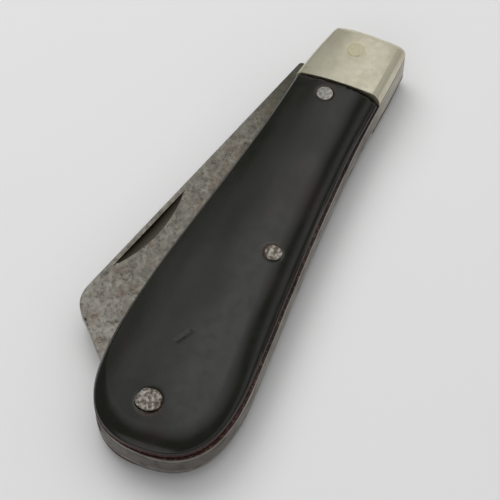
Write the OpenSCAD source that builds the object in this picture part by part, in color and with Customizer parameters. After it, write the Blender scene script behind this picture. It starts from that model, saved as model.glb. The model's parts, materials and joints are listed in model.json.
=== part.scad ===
// Folding slip-joint jack knife, shown closed and lying on its side.
// One sheepfoot blade turns on a pin between two lined and bolstered horn covers,
// and a back spring bears on the blade's tang to hold it open or closed.
// The drawing plan has x = 0 at the butt, y = 0 near the centre of the bolster,
// +y towards the blade and z = 0 at the plane that the lower cover rests on.

/* [Handle] */
// Length of the closed handle, butt to bolster end
handle_length = 94.2; // [90:0.1:100]
// Highest point of the blade side of the butt above the plan axis
butt_blade_side = 16.4; // [15:0.1:17.5]
// Depth of the back of the butt below the plan axis
butt_back_side = 9.0; // [8.5:0.1:10]
// Length of the bolster along the handle
bolster_length = 14.0; // [11:0.1:16]
// How much further the lower bolster reaches towards the butt
back_bolster_extra = 1.8; // [0:0.1:2.5]

/* [Thickness of the layers] */
// Thickness of a horn cover, and of a bolster, at its crown
cover_thick = 3.2; // [2.8:0.1:4]
// Height of the upright wall round a cover's edge
wall_height = 0.3; // [0.2:0.1:1.4]
// Thickness of a liner
liner_thick = 0.9; // [0.6:0.1:1.2]
// Thickness of the back spring, which sets the gap between the liners
spring_thick = 3.0; // [2.4:0.1:3.6]

/* [Blade] */
// Clearance between the blade and each liner
side_clearance = 0.05; // [0.03:0.01:0.1]
// Distance from the pivot to the blade's spine
spine_offset = 8.2; // [7.8:0.1:8.3]
// Distance from the pivot to the cutting edge
edge_offset = 5.8; // [5:0.1:6]
// Distance from the pivot to the point of the blade
blade_reach = 78.4; // [74:0.1:79]
// Angle of the closed blade to the handle, measured from fully open
closed_angle = 165.5; // [163:0.1:167]
// Half the thickness of the cutting edge
edge_half_thick = 0.12; // [0.05:0.01:0.3]
// Length of the nail nick
nick_length = 20; // [14:0.5:22]
// Width of the nail nick at its middle
nick_width = 2.0; // [1.2:0.1:2.4]
// Depth of the nail nick at its steep wall
nick_depth = 0.6; // [0.4:0.05:0.8]

/* [Pins] */
// Radius of the pivot pin
pivot_r = 1.5; // [1.2:0.1:1.8]
// Radial running clearance of the tang on the pivot pin
pivot_clearance = 0.03; // [0.02:0.01:0.05]
// Shank radius of the spring pin
spring_pin_r = 1.2; // [1:0.1:1.3]
// Head radius of the spring pin and the cover pins
small_head_r = 1.5; // [1.4:0.1:1.9]
// Shank radius of the butt pin
butt_pin_r = 1.6; // [1.2:0.1:1.8]
// Head radius of the butt pin
butt_head_r = 2.2; // [1.9:0.1:2.5]
// Shank radius of the cover pins
cover_pin_r = 1.0; // [0.8:0.1:1.2]
// Radius of the blind rivets that hold the bolsters
rivet_r = 0.8; // [0.6:0.1:1]

/* [Hidden] */

$fn = 96;
far = 200;

// Heights of the layers, from the rest plane up.
liner_z = cover_thick;
spring_z = liner_z + liner_thick;
mid_z = spring_z + spring_thick / 2;
total_thick = 2 * mid_z;
blade_half = spring_thick / 2 - side_clearance;

// Places on the plan.
pivot = [88.4, 0.4];
junction_x = handle_length - bolster_length;
back_junction_x = junction_x - back_bolster_extra;
spring_pin_at = [41.8, -2.5];
butt_pin_at = [8.1, 5.3];
cover_pin_at = [76.9, 1.9];
rivet_x = junction_x + 3.2;
rivet_ys = [-4.6, 4.4];

// Points of a cubic curve, without its last point.
function cubic(a, b, c, d, n) = [
    for (i = [0:n - 1])
        let (t = i / n, s = 1 - t)
        s * s * s * a + 3 * s * s * t * b + 3 * s * t * t * c + t * t * t * d];

// Lowest or highest x (axis 0) or y (axis 1) of a list of points.
function lowest(points, axis) = min([for (p = points) p[axis]]);
function highest(points, axis) = max([for (p = points) p[axis]]);

// ---- Handle outline, anticlockwise from the bolster's blade side ----
junction_top = [junction_x, 8.85];
butt_top = [17, butt_blade_side];
butt_end = [0, 3.2];
butt_bottom = [17.5, -butt_back_side];
back_front = [84, -7.9];
nose_back = [handle_length - 1.9, -8.1];
end_back = [handle_length - 0.2, -5.2];
end_front = [handle_length - 0.5, 4.4];
nose_front = [handle_length - 2.3, 6.5];

function butt_curves() = concat(
    cubic(junction_top, [56, 10.7], [34, butt_blade_side], butt_top, 14),
    cubic(butt_top, [6.0, butt_blade_side], [0, 13.0], butt_end, 14),
    cubic(butt_end, [0, -5.5], [5.5, -butt_back_side - 0.2], butt_bottom, 14),
    cubic(butt_bottom, [35, 0.7 - butt_back_side], [60, -6.3], back_front, 14));

function bolster_curves() = concat(
    cubic(back_front, [87, -8.05], [90, -8.1], nose_back, 4),
    cubic(nose_back, [handle_length - 0.7, -8.1], [handle_length - 0.4, -7.2], end_back, 5),
    cubic(end_back, [handle_length, -2], [handle_length, 2], end_front, 7),
    cubic(end_front, [handle_length - 0.7, 5.9], [handle_length - 1.1, 6.2], nose_front, 5),
    cubic(nose_front, [89, 7.3], [84, 8.4], junction_top, 4));

outline = concat(butt_curves(), bolster_curves());

// ---- Domed cover: rings that shrink from the outline to a flat land ----
land_ratio = 0.3;      // size of the land against the outline
dome_steps = 9;        // rings between the wall and the land
butt_core_x = 13;      // the dome is round about this point at the butt
nose_core_x = handle_length - 2.2;

// Middle of the handle at x, where the rings shrink to.
function core_y(x) = 3.6 - 3.9 * pow((x - butt_core_x) / (nose_core_x - butt_core_x), 1.15);
function core(p) = let (x = min(max(p[0], butt_core_x), nose_core_x)) [x, core_y(x)];
function ring_ratio(k) = land_ratio + (1 - land_ratio) * cos(90 * k / dome_steps);
function ring_height(k) = wall_height + (cover_thick - wall_height) * sin(90 * k / dome_steps);
function ring(ratio, z) = [
    for (p = outline)
        let (c = core(p))
        [c[0] + (p[0] - c[0]) * ratio, c[1] + (p[1] - c[1]) * ratio, z]];

// The two last points are the hubs of the flat faces, below and on the land.
dome_hub = core([handle_length / 2, 0]);
function dome_points() = concat(
    ring(1, 0),
    [for (k = [0:dome_steps]) each ring(ring_ratio(k), ring_height(k))],
    [[dome_hub[0], dome_hub[1], 0], [dome_hub[0], dome_hub[1], cover_thick]]);

// Two triangles between ring r and the next one, at step i round the outline.
function band(r, i, n) =
    let (a = r * n + i, b = r * n + (i + 1) % n)
    [[a, a + n, b], [b, a + n, b + n]];

function dome_faces(n) =
    let (land = (dome_steps + 1) * n, hub = land + n)
    concat(
        [for (i = [0:n - 1]) [i, (i + 1) % n, hub]],
        [for (r = [0:dome_steps], i = [0:n - 1]) each band(r, i, n)],
        [for (i = [0:n - 1]) [land + (i + 1) % n, land + i, hub + 1]]);

// The whole domed cover, flat side down at z = 0.
module dome() {
    polyhedron(points = dome_points(), faces = dome_faces(len(outline)));
}

// All that lies on one side of a joint across the handle at x.
module beyond(x, side) {
    translate([side > 0 ? x : x - far, -far / 2, -1])
        cube([far, far, cover_thick + 2]);
}

// ---- Pins; over lengthens one past its faces, which makes it the tool for its own hole ----
head_thick = 0.45;
head_taper = 0.5;
drill_over = 1;

// A pin's peened head, its outer face at z = 0 and its shank going up.
module head(head_r, shank_r, over) {
    translate([0, 0, -over])
        cylinder(r = head_r, h = head_thick + over);
    translate([0, 0, head_thick])
        cylinder(r1 = head_r, r2 = shank_r, h = head_taper);
}

module shank(at, r, from, to) {
    translate([at[0], at[1], from])
        cylinder(r = r, h = to - from);
}

// A pin through the whole handle, with a head at each end.
module through_pin(at, shank_r, head_r, over = 0) {
    shank(at, shank_r, 0, total_thick);
    translate([at[0], at[1], 0])
        head(head_r, shank_r, over);
    translate([at[0], at[1], total_thick])
        mirror([0, 0, 1])
            head(head_r, shank_r, over);
}

// The pin that holds the lower cover to its liner.
module cover_pin(over = 0) {
    shank(cover_pin_at, cover_pin_r, 0, spring_z + over);
    translate([cover_pin_at[0], cover_pin_at[1], 0])
        head(small_head_r, cover_pin_r, over);
}

// The two blind rivets of the lower bolster.
rivet_bottom = 1.6;
module rivets(over = 0) {
    for (y = rivet_ys)
        shank([rivet_x, y], rivet_r, rivet_bottom, spring_z + over);
}

module pivot_shank(over = 0) {
    shank(pivot, pivot_r, -over, total_thick + over);
}

// Everything that is drilled right through the handle.
module drillings() {
    through_pin(spring_pin_at, spring_pin_r, small_head_r, drill_over);
    through_pin(butt_pin_at, butt_pin_r, butt_head_r, drill_over);
    pivot_shank(drill_over);
}

// ---- Lower half of the handle; the upper half is its mirror image ----
module lower_cover(joint_x, side) {
    intersection() {
        translate([0, 0, cover_thick])
            mirror([0, 0, 1])
                dome();
        beyond(joint_x, side);
    }
}

module lower_scale(joint_x) {
    difference() {
        lower_cover(joint_x, -1);
        drillings();
        cover_pin(drill_over);
    }
}

module lower_bolster(joint_x) {
    difference() {
        lower_cover(joint_x, 1);
        pivot_shank(drill_over);
        rivets(drill_over);
    }
}

module lower_liner() {
    difference() {
        translate([0, 0, liner_z])
            linear_extrude(liner_thick)
                polygon(outline);
        drillings();
        cover_pin(drill_over);
        rivets(drill_over);
    }
}

module upper() {
    translate([0, 0, total_thick])
        mirror([0, 0, 1])
            children();
}

// ---- Back spring ----
spring_face = 4.2;              // from the pivot to the spring's running face
nose_reach = 5.6;               // from the pivot to the end of the spring
run_y = pivot[1] - spring_face;
spring_tip = [-1, 12.2];        // where the spring ends round the butt

// The side of the spring that faces the blade, from the nose to the butt.
function spring_inside() = concat(
    [[pivot[0] + nose_reach, run_y]],
    cubic([74, run_y], [62, run_y], [52, -3.8], [47.5, -1.2], 10),
    cubic([47.5, -1.2], [44.6, 1.3], [39.2, 1.3], [36.2, -1.2], 8),
    cubic([36.2, -1.2], [31, -4.9], [24, -5.2], [18.5, -1.4], 10),
    cubic([18.5, -1.4], [14.2, 1.6], [14.6, 9.5], [9.5, 10.4], 10),
    cubic([9.5, 10.4], [6.5, 10.9], [4, 11.2], spring_tip, 6));

module back_spring_plan() {
    intersection() {
        polygon(outline);
        polygon(concat(
            spring_inside(),
            [spring_tip, [-10, 12], [-10, -20], [pivot[0] + nose_reach, -20]]));
    }
}

// ---- Blade, drawn open: pivot at the origin, point towards +x, edge towards +y ----
tang_clearance = 0.05;
flat_offset = spring_face - tang_clearance;
shoulder_x = nose_reach + tang_clearance;
ricasso = 13;                    // from the pivot to the start of the grind
closed_normal = 270 - closed_angle;

// Point on the tang's closed flat, which meets the spring's face when shut.
function on_closed_flat(x, gap = 0) =
    [x, (flat_offset - gap - x * cos(closed_normal)) / sin(closed_normal)];

spine_end = [blade_reach - 11.6, -spine_offset];
clip_top = [blade_reach - 6.1, -spine_offset + 3.75];
point_at = [blade_reach, edge_offset];
kick_x = 10;

function blade_outline() = concat(
    // shoulder and spine
    [[shoulder_x, -flat_offset]],
    cubic([shoulder_x, -spine_offset + 0.8], [shoulder_x, -spine_offset + 0.3],
          [shoulder_x + 0.3, -spine_offset], [shoulder_x + 0.8, -spine_offset], 4),
    [[shoulder_x + 0.8, -spine_offset]],
    // rounded corner, then the sheepfoot's slope down to the point
    cubic(spine_end, spine_end + [3.2, 0], clip_top - [0.9, 2.1], clip_top, 8),
    cubic(clip_top, clip_top + [1.7, 2.9], point_at - [1.6, 2.6], point_at, 6),
    [point_at],
    // edge, choil and kick
    cubic([15.2, edge_offset], [14.4, edge_offset - 1.7], [13.2, edge_offset - 1.6],
          [12.4, edge_offset - 0.2], 6),
    cubic([12.4, edge_offset - 0.2], on_closed_flat(kick_x + 1.6), on_closed_flat(kick_x + 0.8),
          on_closed_flat(kick_x), 4),
    cubic(on_closed_flat(kick_x), on_closed_flat(kick_x - 1), on_closed_flat(kick_x - 1.6, 0.4),
          on_closed_flat(kick_x - 2.6, 0.9), 4),
    [on_closed_flat(kick_x - 4.6, 0.9)],
    // closed flat, half-way flat and open flat, with their cams between
    [on_closed_flat(3)],
    cubic(on_closed_flat(-2.2), on_closed_flat(-3.4), [-flat_offset, 2.9], [-flat_offset, 1.6], 6),
    cubic([-flat_offset, -1.9], [-flat_offset, -3.3], [-3.3, -flat_offset], [-1.9, -flat_offset], 6),
    [[-1.9, -flat_offset]]);

// A half space above the flat grind, from the ricasso to the point.
grind_rise = atan2(blade_half - edge_half_thick, spine_offset + edge_offset);
module grind() {
    translate([ricasso, -spine_offset, blade_half])
        rotate([-grind_rise, 0, 0])
            translate([0, -2, 0])
                cube([far, 40, 10]);
}

// The nail nick is the mark of a large round cutter laid almost flat:
// its end makes the steep wall by the spine and its rim makes the sloping floor.
nick_middle = 51.5;
nick_from_spine = 0.9;
nick_tilt = atan2(nick_depth, nick_width) - grind_rise;
nick_r = nick_length * nick_length / 8 / nick_depth;
module nick() {
    translate([nick_middle, -spine_offset + nick_from_spine, blade_half - nick_depth])
        rotate([nick_tilt - 90, 0, 0])
            translate([0, -nick_r, 0])
                cylinder(r = nick_r, h = 6, $fn = 360);
}

module blade_open() {
    difference() {
        translate([0, 0, -blade_half])
            linear_extrude(2 * blade_half)
                polygon(blade_outline());
        grind();
        mirror([0, 0, 1])
            grind();
        nick();
        translate([0, 0, -blade_half - 1])
            cylinder(r = pivot_r + pivot_clearance, h = 2 * blade_half + 2);
    }
}

// Plan position of a point of the blade when it is shut.
function shut(p) = pivot + [
    p[0] * cos(closed_angle) - p[1] * sin(closed_angle),
    p[0] * sin(closed_angle) + p[1] * cos(closed_angle)];

// ---- The part's own frame: origin at the centre of the underside of its box ----
blade_shut = [for (p = blade_outline()) shut(p)];
centre = [
    (lowest(outline, 0) + highest(outline, 0)) / 2,
    (lowest(outline, 1) + highest(blade_shut, 1)) / 2];

module place() {
    translate([-centre[0], -centre[1], 0])
        children();
}

// ---- Sub-parts ----
module blade() {
    color([0.46, 0.44, 0.41])
        place()
            translate([pivot[0], pivot[1], mid_z])
                rotate([0, 0, closed_angle])
                    blade_open();
}

module back_spring() {
    color([0.40, 0.38, 0.36])
        place()
            difference() {
                translate([0, 0, spring_z])
                    linear_extrude(spring_thick)
                        back_spring_plan();
                drillings();
            }
}

module liner_back() {
    color([0.47, 0.45, 0.42])
        place()
            lower_liner();
}

module liner_front() {
    color([0.47, 0.45, 0.42])
        place()
            upper()
                lower_liner();
}

module bolster_back() {
    color([0.72, 0.69, 0.58])
        place()
            lower_bolster(back_junction_x);
}

module bolster_front() {
    color([0.72, 0.69, 0.58])
        place()
            upper()
                lower_bolster(junction_x);
}

module scale_back() {
    color([0.16, 0.16, 0.15])
        place()
            lower_scale(back_junction_x);
}

module scale_front() {
    color([0.16, 0.16, 0.15])
        place()
            upper()
                lower_scale(junction_x);
}

module pivot_pin() {
    color([0.72, 0.68, 0.50])
        place()
            pivot_shank();
}

module spring_pin() {
    color([0.62, 0.60, 0.57])
        place()
            through_pin(spring_pin_at, spring_pin_r, small_head_r);
}

module butt_pin() {
    color([0.62, 0.60, 0.57])
        place()
            through_pin(butt_pin_at, butt_pin_r, butt_head_r);
}

module scale_pin_back() {
    color([0.62, 0.60, 0.57])
        place()
            cover_pin();
}

module scale_pin_front() {
    color([0.62, 0.60, 0.57])
        place()
            upper()
                cover_pin();
}

module bolster_rivets_back() {
    color([0.62, 0.60, 0.57])
        place()
            rivets();
}

module bolster_rivets_front() {
    color([0.62, 0.60, 0.57])
        place()
            upper()
                rivets();
}

blade();
back_spring();
liner_front();
liner_back();
bolster_front();
bolster_back();
scale_front();
scale_back();
pivot_pin();
spring_pin();
butt_pin();
scale_pin_front();
scale_pin_back();
bolster_rivets_front();
bolster_rivets_back();
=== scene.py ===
"""Looks of a folding slip-joint knife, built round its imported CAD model.

Shapes are worked out in the drawing plan of the part, in millimetres: x runs from the butt to
the bolster end, +y to the blade side, and z is the height above the rest plane. The blade has
a plan of its own: its pivot is the origin, +x runs to the point and +y to the cutting edge.
"""

import json
import math
from collections import namedtuple

import bmesh
import bpy
import numpy as np
from mathutils import Matrix, Vector, noise
from mathutils.geometry import delaunay_2d_cdt


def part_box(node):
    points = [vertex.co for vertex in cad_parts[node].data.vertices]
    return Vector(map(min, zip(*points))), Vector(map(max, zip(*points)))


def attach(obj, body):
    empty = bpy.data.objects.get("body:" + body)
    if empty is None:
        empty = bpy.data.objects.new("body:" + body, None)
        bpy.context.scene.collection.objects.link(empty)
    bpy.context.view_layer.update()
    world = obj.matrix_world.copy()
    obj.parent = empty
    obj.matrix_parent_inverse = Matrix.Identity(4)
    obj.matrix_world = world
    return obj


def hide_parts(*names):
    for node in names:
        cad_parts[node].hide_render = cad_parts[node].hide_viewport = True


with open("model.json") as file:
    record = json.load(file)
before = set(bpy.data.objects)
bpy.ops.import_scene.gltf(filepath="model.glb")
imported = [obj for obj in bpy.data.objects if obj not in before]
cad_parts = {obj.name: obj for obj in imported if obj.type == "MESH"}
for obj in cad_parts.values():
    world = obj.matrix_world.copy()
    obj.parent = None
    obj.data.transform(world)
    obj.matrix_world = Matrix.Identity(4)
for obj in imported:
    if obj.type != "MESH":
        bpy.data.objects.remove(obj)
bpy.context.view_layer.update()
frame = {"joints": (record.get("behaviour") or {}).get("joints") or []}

MM = 0.001

# ---- sizes and places, from the frame

hinge = next(j for j in frame["joints"] if j["name"] == "blade_pivot")
CLOSED_ANGLE = hinge["range_deg"][1]
PIVOT = (88.4, 0.4)
PLAN_ORIGIN = Vector((hinge["pos_m"][0] - PIVOT[0] * MM, hinge["pos_m"][1] - PIVOT[1] * MM, 0))


def layer(node):
    """Lowest and highest z of a CAD node, in millimetres."""
    low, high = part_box(node)
    return low.z / MM, high.z / MM


def plan_x(node, end):
    """Lowest (end 0) or highest (end 1) plan x of a CAD node, in millimetres."""
    return (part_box(node)[end].x - PLAN_ORIGIN.x) / MM


HANDLE_LENGTH = plan_x("bolster_front", 1)
JUNCTION_X = plan_x("scale_front", 1)
BACK_JUNCTION_X = plan_x("scale_back", 1)
COVER_FACE, TOTAL_THICK = layer("scale_front")
COVER_THICK = TOTAL_THICK - COVER_FACE
MID_Z = TOTAL_THICK / 2

# Places of the pins in the plan, and the radii of their shanks and heads.
BUTT_PIN = (8.1, 5.3)
SPRING_PIN = (41.8, -2.5)
COVER_PIN = (76.9, 1.9)
RIVET_X = JUNCTION_X + 3.2
RIVET_YS = (-4.6, 4.4)
PIVOT_R = 1.5
BUTT_SHANK_R = 1.6
SPRING_SHANK_R = 1.2
COVER_SHANK_R = 1.0
RIVET_R = 0.8
BUTT_HEAD_R = 2.15
SMALL_HEAD_R = 1.5

BACK_Y = -7.9             # the back of the handle, where the bolster starts
SPRING_FACE = 4.2         # from the pivot to the face of the spring that the tang runs on
SPRING_NOSE = 5.6         # from the pivot to the end of the spring


# ---- curves

def cubic(a, b, c, d, steps):
    """Points of a cubic curve, without its last point."""
    points = []
    for i in range(steps):
        t = i / steps
        s = 1 - t
        weights = (s * s * s, 3 * s * s * t, 3 * s * t * t, t * t * t)
        points.append(tuple(sum(w * p[k] for w, p in zip(weights, (a, b, c, d))) for k in (0, 1)))
    return points


def evenly(loop, spacing):
    """The closed loop again, with its points the same distance apart."""
    closed = np.array(list(loop) + [loop[0]], float)
    steps = np.hypot(*np.diff(closed, axis=0).T)
    along = np.concatenate(([0], np.cumsum(steps)))
    count = int(along[-1] / spacing)
    marks = np.arange(count) * along[-1] / count
    return np.column_stack([np.interp(marks, along, closed[:, k]) for k in (0, 1)])


def normals(loop):
    """Unit vectors that point out of an anticlockwise loop, one per point."""
    along = np.roll(loop, -1, axis=0) - np.roll(loop, 1, axis=0)
    out = np.column_stack((along[:, 1], -along[:, 0]))
    return out / np.maximum(np.hypot(out[:, 0], out[:, 1]), 1e-9)[:, None]


def is_inside(point, loop):
    """Whether a plan point lies inside a closed loop."""
    crossings = 0
    for a, b in zip(loop, np.roll(loop, -1, axis=0)):
        if (a[1] > point[1]) != (b[1] > point[1]):
            crossings += point[0] < a[0] + (point[1] - a[1]) * (b[0] - a[0]) / (b[1] - a[1])
    return crossings % 2 == 1


def edge_distance(points, loop):
    """Distance from each point to the nearest stretch of a closed loop."""
    nearest = np.full(len(points), 1e9)
    for a, b in zip(loop, np.roll(loop, -1, axis=0)):
        step = b - a
        t = np.clip((points - a) @ step / max(step @ step, 1e-12), 0, 1)
        nearest = np.minimum(nearest, np.hypot(*(points - a - t[:, None] * step).T))
    return nearest


def circle(centre, radius, count):
    """Points of a circle, anticlockwise."""
    turns = [2 * math.pi * i / count for i in range(count)]
    return [(centre[0] + radius * math.cos(a), centre[1] + radius * math.sin(a)) for a in turns]


def handle_outline(spacing):
    """The handle's outline, anticlockwise from the bolster's blade side."""
    end = HANDLE_LENGTH
    junction_top = (JUNCTION_X, 8.85)
    butt_top = (17, 16.4)
    butt_end = (0, 3.2)
    butt_bottom = (17.5, -9.0)
    back_front = (84, BACK_Y)
    nose_back = (end - 1.9, -8.1)
    end_back = (end - 0.2, -5.2)
    end_front = (end - 0.5, 4.4)
    nose_front = (end - 2.3, 6.5)
    return evenly(
        cubic(junction_top, (56, 10.7), (34, 16.4), butt_top, 60)
        + cubic(butt_top, (6, 16.4), (0, 13), butt_end, 40)
        + cubic(butt_end, (0, -5.5), (5.5, -9.2), butt_bottom, 40)
        + cubic(butt_bottom, (35, -8.3), (60, -6.3), back_front, 60)
        + cubic(back_front, (87, -8.05), (90, -8.1), nose_back, 20)
        + cubic(nose_back, (end - 0.7, -8.1), (end - 0.4, -7.2), end_back, 20)
        + cubic(end_back, (end, -2), (end, 2), end_front, 20)
        + cubic(end_front, (end - 0.7, 5.9), (end - 1.1, 6.2), nose_front, 20)
        + cubic(nose_front, (89, 7.3), (84, 8.4), junction_top, 30),
        spacing)


def spring_outline():
    """The back spring: the handle's outline from butt to nose, then its own inner side."""
    run_y = PIVOT[1] - SPRING_FACE
    nose_x = PIVOT[0] + SPRING_NOSE
    tip = (-1, 12.2)
    inner = ([(nose_x, run_y)]
             + cubic((74, run_y), (62, run_y), (52, -3.8), (47.5, -1.2), 24)
             + cubic((47.5, -1.2), (44.6, 1.3), (39.2, 1.3), (36.2, -1.2), 16)
             + cubic((36.2, -1.2), (31, -4.9), (24, -5.2), (18.5, -1.4), 20)
             + cubic((18.5, -1.4), (14.2, 1.6), (14.6, 9.5), (9.5, 10.4), 20)
             + cubic((9.5, 10.4), (6.5, 10.9), (4, 11.2), tip, 12))
    outer_side = np.array(inner + [tip, (-10, 12), (-10, -20), (nose_x, -20)])
    outline = handle_outline(0.4)
    back = [p for p in outline if is_inside(p, outer_side)]
    return np.array(back + [p for p in inner if is_inside(p, outline)])


# ---- meshes

def add_object(name, data):
    """An object in the scene for a mesh, a lamp or a camera."""
    thing = bpy.data.objects.new(name, data)
    bpy.context.scene.collection.objects.link(thing)
    return thing


def to_mesh(name, points_mm, faces, sharp_degrees=35):
    """A closed, smooth-shaded mesh object from points in the handle's plan."""
    mesh = bpy.data.meshes.new(name)
    mesh.from_pydata([tuple(c * MM for c in p) for p in points_mm], [], faces)
    bm = bmesh.new()
    bm.from_mesh(mesh)
    bmesh.ops.recalc_face_normals(bm, faces=bm.faces)
    bm.to_mesh(mesh)
    bm.free()
    mesh.shade_smooth()
    mesh.set_sharp_from_angle(angle=math.radians(sharp_degrees))
    piece = add_object(name, mesh)
    piece.matrix_world = Matrix.Translation(PLAN_ORIGIN)
    return piece


def install(piece, node, material, body="handle"):
    """The piece takes the CAD node's place on its body, with its material."""
    piece.data.materials.append(material)
    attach(piece, body)
    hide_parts(node)


def rounding(distance, radius):
    """How far a face falls at a distance from a rounded edge of that radius."""
    near = np.clip(radius - distance, 0, radius)
    return radius - np.sqrt(np.maximum(radius ** 2 - near ** 2, 0))


ROUND_STEPS = (0.03, 0.12, 0.3, 0.6, 1.0)   # rows across a rounded edge, in shares of its radius
MAX_DROP = 0.45           # the most that an edge is rounded away, as a share of the thickness


def triangulate(rims, lines, radius, spacing):
    """Points and triangles between an outer rim and the rims of its holes, in the plan.

    Rows of points follow the rims, where an edge is rounded to radius, and a crisp line runs
    along each list in lines. spacing is the pitch of a grid of points inside, or 0 for none.
    Also gives the numbers of each rim's points.
    """
    plan, edges = [], []
    for loop, closing in [(rim, 1) for rim in rims] + [(line, 0) for line in lines]:
        start, count = len(plan), len(loop)
        plan.extend(map(tuple, loop))
        edges += [(start + i, start + (i + 1) % count) for i in range(count - 1 + closing)]
    for rim, side in zip(rims, [-1] + [1] * (len(rims) - 1)):
        inwards = side * normals(rim)
        for share in ROUND_STEPS:
            plan.extend(tuple(p) for p in rim + inwards * radius * share)
    if spacing:
        low, high = rims[0].min(0), rims[0].max(0)
        grid = np.array([(x, y) for x in np.arange(low[0], high[0], spacing)
                         for y in np.arange(low[1], high[1], spacing)])
        clear = np.min([edge_distance(grid, rim) for rim in rims], axis=0) > radius + spacing / 3
        plan.extend(tuple(p) for p in grid[clear])
    points, _, faces, origins, _, _ = delaunay_2d_cdt([Vector(p) for p in plan], edges, [], 1, 1e-5)
    points = np.array([tuple(p) for p in points])
    middles = [points[list(f)].mean(0) for f in faces]
    faces = [f for f, m in zip(faces, middles) if not any(is_inside(m, hole) for hole in rims[1:])]
    place = {original: i for i, group in enumerate(origins) for original in group}
    starts = np.cumsum([0] + [len(rim) for rim in rims])
    rings = [[place[start + i] for i in range(len(rim))] for start, rim in zip(starts, rims)]
    return points, faces, rings


def slab(name, outer, holes, top, bottom, radius, spacing=0, lines=()):
    """A plate between two height functions of (points), its edges rounded to radius."""
    rims = [np.array(loop, float) for loop in [outer, *holes]]
    points, faces, rings = triangulate(rims, lines, radius, spacing)
    high, low = top(points), bottom(points)
    drop = rounding(np.min([edge_distance(points, rim) for rim in rims], axis=0), radius)
    drop = np.minimum(drop, MAX_DROP * (high - low))
    count = len(points)
    solid = [(x, y, z) for (x, y), z in zip(points, high - drop)]
    solid += [(x, y, z) for (x, y), z in zip(points, low + drop)]
    skin = [tuple(f) for f in faces] + [tuple(i + count for i in reversed(f)) for f in faces]
    for ring in rings:
        for a, b in zip(ring, ring[1:] + ring[:1]):
            if a != b:
                skin.append((a, b, b + count, a + count))
    used = sorted({i for face in skin for i in face})
    rank = {old: new for new, old in enumerate(used)}
    return to_mesh(name, [solid[i] for i in used], [tuple(rank[i] for i in f) for f in skin])


def flat(height):
    """A height function that is the same everywhere."""
    return lambda points: np.full(len(points), float(height))


# ---- domed covers and bolsters

BUTT_CORE_X = 17          # the dome is round about this point at the butt
NOSE_CORE_X = HANDLE_LENGTH - 2.2
CORE_Y = 3.6              # y of the handle's middle at the butt,
CORE_FALL = 3.9           # how much lower it is at the nose,
CORE_BEND = 1.15          # and the power of its bend between
EDGE_TURN = math.radians(82)   # how much of a quarter of a superellipse a rounded edge is
EDGE_POWER = 1.85         # its power, where 2 makes a true ellipse and less a flatter one
EDGE_ROWS = 26            # rows across a rounded edge
CROWN_ROWS = 17           # and about how many across the crown
CROWN_SLOPE = 0.09        # slope of the nearly flat crown at its rim
BLADE_SIDE_SLOPE = 0.13   # and so much more along the blade side, near the bolster
NOSE_DROP = 0.4           # the crown's rim is so much lower at the bolster's end

# Width of the rounded edge: the least, how much more along the back, and round the butt.
HORN_EDGE = (1.1, 4.4, 3.2)
BOLSTER_EDGE = (1.2, 0.7, 0)

HORN_WALL = 0.25          # upright wall under a horn cover's edge
BUTT_WALL = 0.85          # and so much more of it round the butt
BOLSTER_WALL = 0.6
SEAM_HEIGHT = 0.5         # the rough foot of a horn cover
SEAM_DEPTH = 0.10         # and how far it is undercut
BOLSTER_UNDERCUT = 0.08
SHRUNK_ALL_ROUND = 0.04   # how far a horn cover has drawn back from the liner,
SHRUNK_BACK = 0.45        # how much further along the back,
SHRUNK_LESS = 0.2         # and how much of that is missing near the bolster

OUTER_Z = 1               # whatever is higher is on the outer side of a cover
SEAT_DEPTH = 0.35         # the seat under a pin's head
SEAT_MARGIN = 0.12        # and how far it stays inside the head's rim
RING_WIDTH = 0.28         # the dished ring round the head
SCRATCH = ((19.7, 5.5), (22.2, 4.2))
SCRATCH_MIDDLE = (20.9, 4.9)
SCRATCH_WIDTH = 0.28
SCRATCH_DEPTH = 0.14

# How a cover is worked: height of its hand-finished waves, depth of the ring round a pin, side of
# the joint that is kept, distance of the cut from the joint, radius and raggedness of the cut end.
Work = namedtuple("Work", "waves ring_depth side gap end_radius ragged seed")
HORN_WORK = Work(0.09, 0.08, side=-1, gap=-0.38, end_radius=0.5, ragged=0.9, seed=2.0)
BOLSTER_WORK = Work(0.03, 0.02, side=1, gap=0.02, end_radius=0.12, ragged=0.4, seed=5.0)


def ease(value, low, high):
    """0 below low, 1 above high, and smooth between them."""
    t = min(max((value - low) / (high - low), 0), 1)
    return t * t * (3 - 2 * t)


def core(point):
    """The point in the middle of the handle that a point of the outline shrinks to."""
    x = min(max(point[0], BUTT_CORE_X), NOSE_CORE_X)
    along = (x - BUTT_CORE_X) / (NOSE_CORE_X - BUTT_CORE_X)
    return x, CORE_Y - CORE_FALL * along ** CORE_BEND


def shrinkage(point):
    """How far the horn has drawn back from the liner's edge at a point of the outline."""
    towards_back = 1 - ease(point[1], -5, 11)
    towards_bolster = ease(point[0], 66, 80)
    return SHRUNK_ALL_ROUND + (SHRUNK_BACK - SHRUNK_LESS * towards_bolster) * towards_back


def edge_reach(point, is_horn):
    """Width of a cover's rounded edge at a point of the outline."""
    least, more_at_back, more_at_butt = HORN_EDGE if is_horn else BOLSTER_EDGE
    towards_back = 1 - ease(point[1], -4, 9)
    towards_butt = 1 - ease(point[0], 0, 15)
    return least + more_at_back * towards_back + more_at_butt * towards_butt * (1 - towards_back)


def shoulder(point, crown_width):
    """Height at which a cover's rounded edge ends and its crown, of that width, starts."""
    towards_blade = ease(point[1], 0, 9)
    towards_bolster = 0.15 + 0.85 * ease(point[0], 30, 82)
    towards_nose = ease(point[0], 84, HANDLE_LENGTH) * (1 - towards_blade)
    slope = CROWN_SLOPE + BLADE_SIDE_SLOPE * towards_blade * towards_bolster
    return COVER_THICK - slope * crown_width / 2 - NOSE_DROP * towards_nose


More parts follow.
